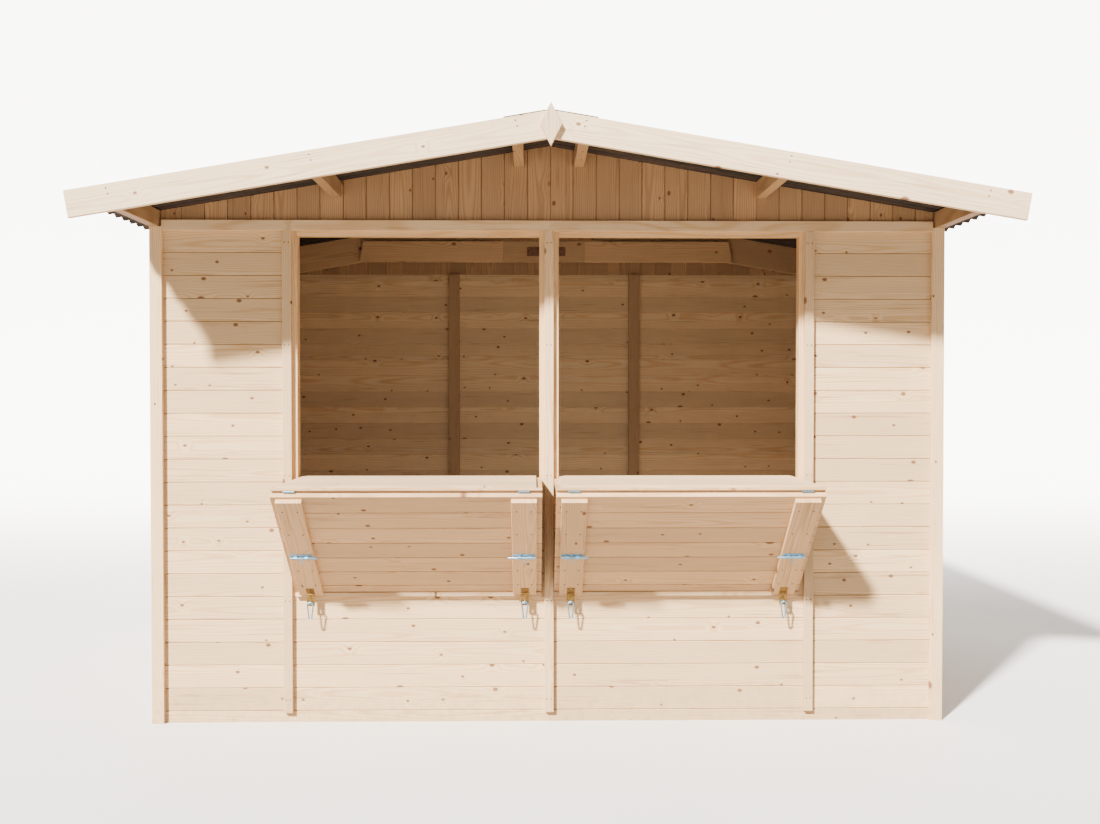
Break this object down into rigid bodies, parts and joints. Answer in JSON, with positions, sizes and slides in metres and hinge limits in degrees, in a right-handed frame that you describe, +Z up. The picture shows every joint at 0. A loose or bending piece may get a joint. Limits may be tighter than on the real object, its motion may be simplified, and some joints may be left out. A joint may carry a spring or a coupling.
{
  "type": "wooden market stall",
  "caption": "Boarded timber stall with wide front windows, folding counter shutters and a low gable roof of corrugated sheet.",
  "frame": {"origin": "on the ground, at the centre of the plan under the roof", "axes": "+X to the right as seen from the front, +Y from the front to the back, +Z up"},
  "size_m": [3.3, 2.89, 2.2515],
  "materials": {
    "wall_boards": "planed pale spruce, oiled",
    "gable_boards": "planed spruce, toned by shade",
    "trim_boards": "planed pale spruce",
    "barge_boards": "planed pale spruce",
    "frame_timber": "sawn spruce",
    "window_timber": "planed spruce",
    "shutter_boards": "planed spruce",
    "counter_top": "planed spruce",
    "roof_covering": "dark brown bituminous sheet",
    "plate_steel": "brown coated steel",
    "zinc_steel": "blue-white zinc plated",
    "yellow_zinc": "yellow passivated zinc"
  },
  "bodies": {
    "root": {"front_wall_left": "wall_boards", "front_wall_right": "wall_boards", "front_wall_under_left_window": "wall_boards", "front_wall_under_right_window": "wall_boards", "left_side_wall": "wall_boards", "right_side_wall": "wall_boards", "back_wall": "wall_boards", "front_gable": "gable_boards", "back_gable": "gable_boards", "left_window_frame": "window_timber", "right_window_frame": "window_timber", "front_head_board_left": "trim_boards", "front_head_board_right": "trim_boards", "back_head_board": "trim_boards", "front_cover_strip_left": "trim_boards", "front_cover_strip_middle": "trim_boards", "front_cover_strip_right": "trim_boards", "side_cover_strips": "trim_boards", "back_cover_strips": "trim_boards", "front_left_corner_board": "trim_boards", "front_right_corner_board": "trim_boards", "back_left_corner_board": "trim_boards", "back_right_corner_board": "trim_boards", "left_wall_studs": "frame_timber", "right_wall_studs": "frame_timber", "back_wall_studs": "frame_timber", "left_eave_purlin": "frame_timber", "right_eave_purlin": "frame_timber", "left_middle_purlin": "frame_timber", "right_middle_purlin": "frame_timber", "left_ridge_purlin": "frame_timber", "right_ridge_purlin": "frame_timber", "left_rafter": "frame_timber", "right_rafter": "frame_timber", "truss_tie": "frame_timber", "truss_plate": "plate_steel", "left_roof_sheet": "roof_covering", "right_roof_sheet": "roof_covering", "ridge_cap": "roof_covering", "front_barge_board_left": "barge_boards", "front_barge_board_right": "barge_boards", "back_barge_board_left": "barge_boards", "back_barge_board_right": "barge_boards", "gable_diamonds": "barge_boards", "left_counter_leaf": "shutter_boards", "right_counter_leaf": "shutter_boards", "left_counter_board": "counter_top", "right_counter_board": "counter_top", "left_brace_leaf": "shutter_boards", "right_brace_leaf": "shutter_boards", "left_ledge": "trim_boards", "right_ledge": "trim_boards", "left_shutter_hinges": "zinc_steel", "right_shutter_hinges": "zinc_steel", "left_slide_bolts": "zinc_steel", "right_slide_bolts": "zinc_steel", "left_hasps": "yellow_zinc", "right_hasps": "yellow_zinc"}
  },
  "joints": []
}
